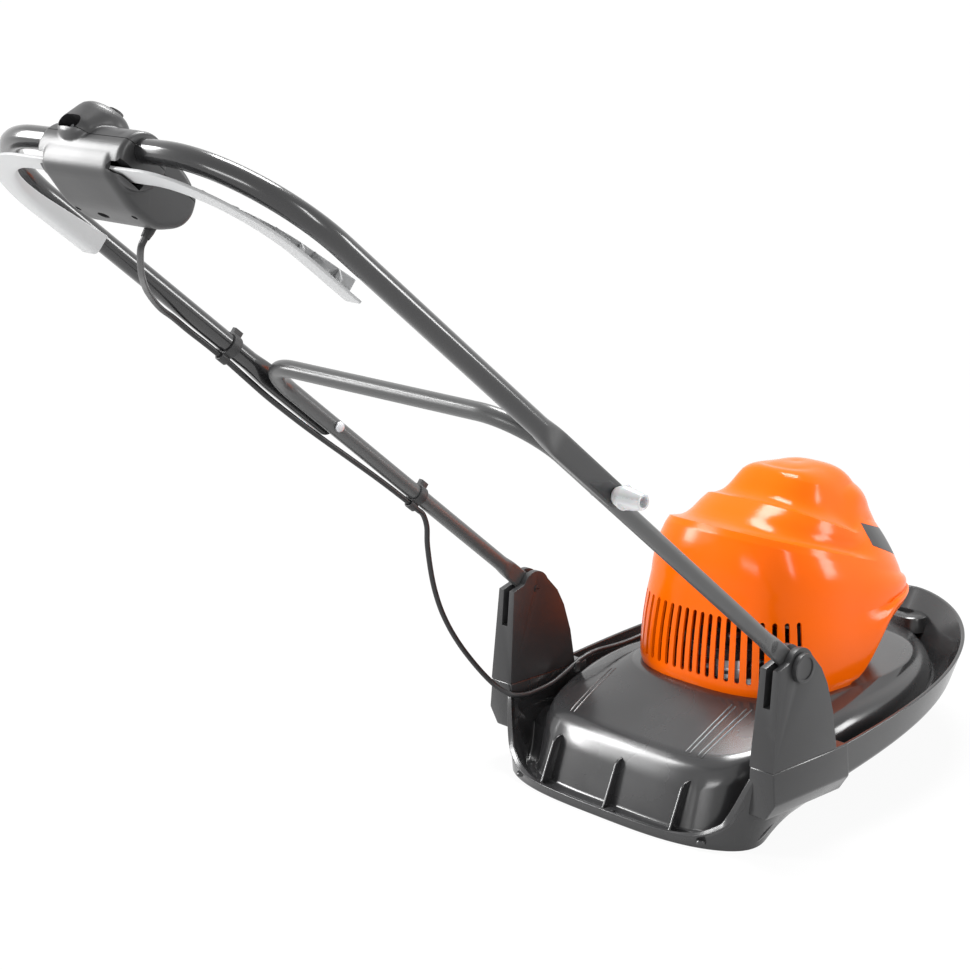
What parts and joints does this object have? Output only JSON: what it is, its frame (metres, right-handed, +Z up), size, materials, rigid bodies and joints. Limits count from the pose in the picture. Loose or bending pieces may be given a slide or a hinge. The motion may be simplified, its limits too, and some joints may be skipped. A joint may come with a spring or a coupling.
{
  "type": "hover mower",
  "caption": "Electric hover mower with a boat-shaped hood, helmet-shaped motor cover, belt-driven blade and impeller, and a folding tube handle with switch box and squeeze lever.",
  "frame": {"origin": "point on the ground directly under the blade's axis", "axes": "+Z up, +Y forward towards the bow, +X to the right seen from behind the handle"},
  "size_m": [0.5198, 1.3147, 0.8644],
  "materials": {
    "hood_plastic": "dark grey moulded plastic, satin",
    "orange_plastic": "glossy orange moulded plastic",
    "tube_paint": "dark grey powder coat on steel tube",
    "box_plastic": "black moulded plastic",
    "lever_plastic": "light grey moulded plastic",
    "knob_plastic": "pale translucent moulded plastic",
    "steel": "bright steel",
    "alloy": "cast aluminium alloy",
    "copper": "enamelled copper winding",
    "rubber": "black rubber"
  },
  "bodies": {
    "deck": {"deck_hood": "hood_plastic", "left_handle_bracket": "hood_plastic", "right_handle_bracket": "hood_plastic", "bracket_screws": "steel", "left_pivot_pin": "hood_plastic", "right_pivot_pin": "hood_plastic", "motor_cover": "orange_plastic", "cover_front_insert": "hood_plastic", "cover_screws": "steel", "motor_mount": "box_plastic", "motor_stator": "steel", "field_coils": "copper", "brush_holders": "box_plastic", "bearing_bridge": "alloy", "motor_bearings": "steel", "suppressor": "orange_plastic", "drive_belt": "rubber", "spindle_housing": "alloy", "spindle_bearings": "steel", "cover_grommet": "rubber", "lead_hook": "hood_plastic", "lead_deck": "rubber", "lead_loop": "rubber"},
    "motor_rotor": {"armature": "copper", "commutator": "copper", "motor_shaft": "steel", "motor_pulley": "alloy", "cooling_fan": "box_plastic"},
    "cutter": {"spindle_shaft": "steel", "driven_pulley": "box_plastic", "impeller": "orange_plastic", "cutting_blade": "steel", "blade_spacer": "box_plastic", "blade_bolt": "steel"},
    "lower_handle": {"lower_handle_tube": "tube_paint", "fold_bolts": "steel", "lower_lead_clip": "rubber", "lead_fold": "rubber"},
    "upper_handle": {"upper_handle_tube": "tube_paint", "switch_box_upper": "box_plastic", "switch_box_lower": "hood_plastic", "switch_box_screws": "steel", "microswitch": "box_plastic", "inlet_pins": "steel", "lever_pivot_rod": "steel", "button_spring": "steel", "box_strain_relief": "rubber", "upper_lead_clip": "rubber", "lead_upper": "rubber"},
    "lever": {"squeeze_lever": "lever_plastic"},
    "button": {"lock_button": "hood_plastic"},
    "left_knob": {"left_hand_knob": "knob_plastic"},
    "right_knob": {"right_hand_knob": "knob_plastic"}
  },
  "joints": [
    {"name": "handle_tilt", "type": "hinge", "parent": "deck", "child": "lower_handle", "pos_m": [0, -0.15, 0.216], "axis": [-1, 0, 0], "range_deg": [-20, 60], "deforming": ["lead_loop"]},
    {"name": "handle_fold", "type": "hinge", "parent": "lower_handle", "child": "upper_handle", "pos_m": [0, -0.46153, 0.47008], "axis": [-1, 0, 0], "range_deg": [0, 125], "deforming": ["lead_fold"]},
    {"name": "lever_squeeze", "type": "hinge", "parent": "upper_handle", "child": "lever", "pos_m": [0, -0.90912, 0.80415], "axis": [1, 0, 0], "range_deg": [0, 4], "stiffness_Nm_per_rad": 8, "springref_deg": -6.88},
    {"name": "button_press", "type": "slide", "parent": "upper_handle", "child": "button", "axis": [0, -0.632, -0.7749], "range_m": [0, 0.004], "stiffness_N_per_m": 600, "springref_m": -0.003, "deforming": ["button_spring"]},
    {"name": "blade_spin", "type": "hinge", "parent": "deck", "child": "cutter", "pos_m": [0, 0, 0.02], "axis": [0, 0, 1], "continuous": true},
    {"name": "motor_spin", "type": "hinge", "parent": "deck", "child": "motor_rotor", "pos_m": [0, 0.118, 0.2], "axis": [0, 0, 1], "continuous": true},
    {"name": "left_knob_turn", "type": "hinge", "parent": "lower_handle", "child": "left_knob", "pos_m": [-0.24, -0.46153, 0.47008], "axis": [-1, 0, 0], "continuous": true},
    {"name": "right_knob_turn", "type": "hinge", "parent": "lower_handle", "child": "right_knob", "pos_m": [0.24, -0.46153, 0.47008], "axis": [1, 0, 0], "continuous": true}
  ],
  "couplings": [
    {"joint": "motor_spin", "follows": "blade_spin", "ratio": 4}
  ]
}
